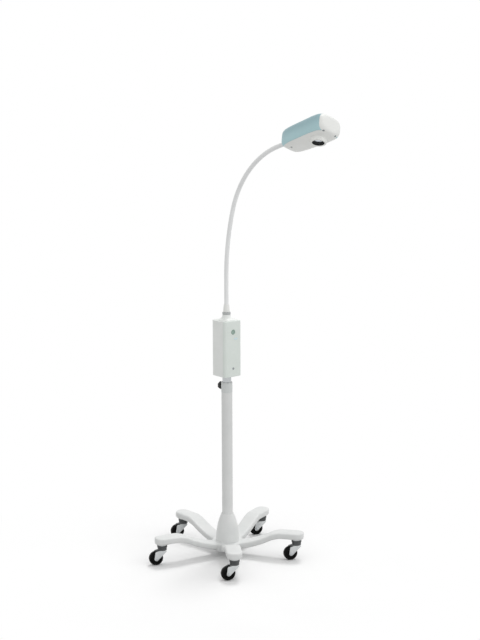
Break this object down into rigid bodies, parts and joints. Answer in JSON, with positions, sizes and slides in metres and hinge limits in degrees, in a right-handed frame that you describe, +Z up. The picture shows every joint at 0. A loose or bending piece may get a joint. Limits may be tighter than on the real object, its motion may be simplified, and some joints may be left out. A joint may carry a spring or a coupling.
{
  "type": "mobile examination lamp",
  "caption": "Examination lamp on a caster star base: telescopic pole with clamp knob, control box, bendable gooseneck and a soft-edged lamp head with a recessed lens.",
  "frame": {"origin": "point on the floor under the axis of the pole", "axes": "+Z up along the pole, -Y out of the control panel, +X to the right as seen from in front of the panel"},
  "size_m": [0.5433, 0.7678, 1.5544],
  "materials": {
    "white_paint": "satin",
    "grey_paint": "satin",
    "steel": "brushed",
    "nylon": "matte",
    "black_plastic": "matte",
    "wheel_rubber": "matte",
    "box_plastic": "satin",
    "panel_plastic": "satin",
    "button_plastic": "satin",
    "window_plastic": "gloss",
    "board": "matte",
    "neck_sheath": "satin",
    "teal_plastic": "satin",
    "white_plastic": "satin",
    "lens_glass": "clear",
    "reflector_metal": "polished",
    "sink_aluminium": "matt"
  },
  "bodies": {
    "base": {"base_star": "white_paint", "hub_cone": "white_paint", "outer_tube": "grey_paint", "tube_plug": "steel", "base_bolt": "steel", "tube_bush": "nylon", "caster_crown_1": "black_plastic", "caster_crown_2": "black_plastic", "caster_crown_3": "black_plastic", "caster_crown_4": "black_plastic", "caster_crown_5": "black_plastic"},
    "caster_1": {"caster_fork_1": "steel", "caster_axle_1": "steel"},
    "wheel_1": {"caster_wheel_1": "wheel_rubber"},
    "caster_2": {"caster_fork_2": "steel", "caster_axle_2": "steel"},
    "wheel_2": {"caster_wheel_2": "wheel_rubber"},
    "caster_3": {"caster_fork_3": "steel", "caster_axle_3": "steel"},
    "wheel_3": {"caster_wheel_3": "wheel_rubber"},
    "caster_4": {"caster_fork_4": "steel", "caster_axle_4": "steel"},
    "wheel_4": {"caster_wheel_4": "wheel_rubber"},
    "caster_5": {"caster_fork_5": "steel", "caster_axle_5": "steel"},
    "wheel_5": {"caster_wheel_5": "wheel_rubber"},
    "post_guide": {"guide_bush": "nylon"},
    "mast": {"inner_post": "steel", "box_shell": "box_plastic", "front_panel": "panel_plastic", "indicator_window": "window_plastic", "control_board": "board", "power_module": "black_plastic", "power_inlet": "black_plastic", "panel_screw": "steel", "neck_seat": "box_plastic", "lock_ring": "black_plastic", "lower_ferrule": "box_plastic", "neck_link_1": "neck_sheath"},
    "clamp_shoe": {"clamp_pad": "nylon"},
    "clamp_handle": {"clamp_screw": "steel", "clamp_knob": "black_plastic"},
    "power_key": {"power_button": "button_plastic"},
    "neck_2": {"neck_link_2": "neck_sheath"},
    "neck_3": {"neck_link_3": "neck_sheath"},
    "neck_4": {"neck_link_4": "neck_sheath"},
    "neck_5": {"neck_link_5": "neck_sheath"},
    "neck_6": {"neck_link_6": "neck_sheath"},
    "neck_7": {"neck_link_7": "neck_sheath"},
    "lamp_head": {"neck_link_8": "neck_sheath", "upper_ferrule": "neck_sheath", "upper_cover": "teal_plastic", "lower_cover": "white_plastic", "cover_screw_left": "steel", "cover_screw_right": "steel", "lens_barrel": "black_plastic", "lens": "lens_glass", "reflector": "reflector_metal", "led_module": "board", "heat_sink": "sink_aluminium"}
  },
  "joints": [
    {"name": "caster_swivel_1", "type": "hinge", "parent": "base", "child": "caster_1", "pos_m": [-0.13398, -0.20869, 0], "axis": [0, 0, 1], "continuous": true},
    {"name": "wheel_spin_1", "type": "hinge", "parent": "caster_1", "child": "wheel_1", "pos_m": [-0.15461, -0.19972, 0.02479], "axis": [-0.3987, -0.9171, 0], "continuous": true},
    {"name": "caster_swivel_2", "type": "hinge", "parent": "base", "child": "caster_2", "pos_m": [0.15708, -0.19191, 0], "axis": [0, 0, 1], "continuous": true},
    {"name": "wheel_spin_2", "type": "hinge", "parent": "caster_2", "child": "wheel_2", "pos_m": [0.13645, -0.18294, 0.02479], "axis": [-0.3987, -0.9171, 0], "continuous": true},
    {"name": "caster_swivel_3", "type": "hinge", "parent": "base", "child": "caster_3", "pos_m": [0.23106, 0.09009, 0], "axis": [0, 0, 1], "continuous": true},
    {"name": "wheel_spin_3", "type": "hinge", "parent": "caster_3", "child": "wheel_3", "pos_m": [0.21043, 0.09906, 0.02479], "axis": [-0.3987, -0.9171, 0], "continuous": true},
    {"name": "caster_swivel_4", "type": "hinge", "parent": "base", "child": "caster_4", "pos_m": [-0.01428, 0.24759, 0], "axis": [0, 0, 1], "continuous": true},
    {"name": "wheel_spin_4", "type": "hinge", "parent": "caster_4", "child": "wheel_4", "pos_m": [-0.03491, 0.25656, 0.02479], "axis": [-0.3987, -0.9171, 0], "continuous": true},
    {"name": "caster_swivel_5", "type": "hinge", "parent": "base", "child": "caster_5", "pos_m": [-0.23988, 0.06293, 0], "axis": [0, 0, 1], "continuous": true},
    {"name": "wheel_spin_5", "type": "hinge", "parent": "caster_5", "child": "wheel_5", "pos_m": [-0.26052, 0.0719, 0.02479], "axis": [-0.3987, -0.9171, 0], "continuous": true},
    {"name": "height_slide", "type": "slide", "parent": "base", "child": "post_guide", "axis": [0, 0, 1], "range_m": [-0.021, 0.35]},
    {"name": "mast_swivel", "type": "hinge", "parent": "post_guide", "child": "mast", "pos_m": [0, 0, 0.15519], "axis": [0, 0, 1], "continuous": true},
    {"name": "clamp_slide", "type": "slide", "parent": "base", "child": "clamp_shoe", "axis": [0, 1, 0], "range_m": [0, 0.00301]},
    {"name": "clamp_turn", "type": "hinge", "parent": "clamp_shoe", "child": "clamp_handle", "pos_m": [0, 0, 0.61019], "axis": [0, 1, 0], "range_deg": [0, 720]},
    {"name": "power_press", "type": "slide", "parent": "mast", "child": "power_key", "axis": [0, 1, 0], "range_m": [0, 0.002], "stiffness_N_per_m": 300, "springref_m": -0.0005},
    {"name": "neck_bend_1", "type": "hinge", "parent": "mast", "child": "neck_2", "pos_m": [0, 0, 0.94923], "axis": [0.9969, 0.0785, 0], "range_deg": [-25, 25]},
    {"name": "neck_bend_2", "type": "hinge", "parent": "neck_2", "child": "neck_3", "pos_m": [0.00015, -0.00195, 1.04686], "axis": [0.0783, -0.9946, -0.068], "range_deg": [-25, 25]},
    {"name": "neck_bend_3", "type": "hinge", "parent": "neck_3", "child": "neck_4", "pos_m": [0.00112, -0.01417, 1.14371], "axis": [0.9969, 0.0785, 0], "range_deg": [-25, 25]},
    {"name": "neck_bend_4", "type": "hinge", "parent": "neck_4", "child": "neck_5", "pos_m": [0.00296, -0.03758, 1.23846], "axis": [0.0744, -0.9455, -0.3169], "range_deg": [-25, 25]},
    {"name": "neck_bend_5", "type": "hinge", "parent": "neck_5", "child": "neck_6", "pos_m": [0.00642, -0.08162, 1.32518], "axis": [0.9969, 0.0785, 0], "range_deg": [-25, 25]},
    {"name": "neck_bend_6", "type": "hinge", "parent": "neck_6", "child": "neck_7", "pos_m": [0.01173, -0.14906, 1.39515], "axis": [0.0477, -0.6062, -0.7939], "range_deg": [-25, 25]},
    {"name": "neck_bend_7", "type": "hinge", "parent": "neck_7", "child": "lamp_head", "pos_m": [0.01841, -0.23397, 1.44223], "axis": [0.9969, 0.0785, 0], "range_deg": [-25, 25]}
  ],
  "couplings": [
    {"joint": "clamp_slide", "follows": "clamp_turn", "m_per_rad": 0.00023873}
  ]
}
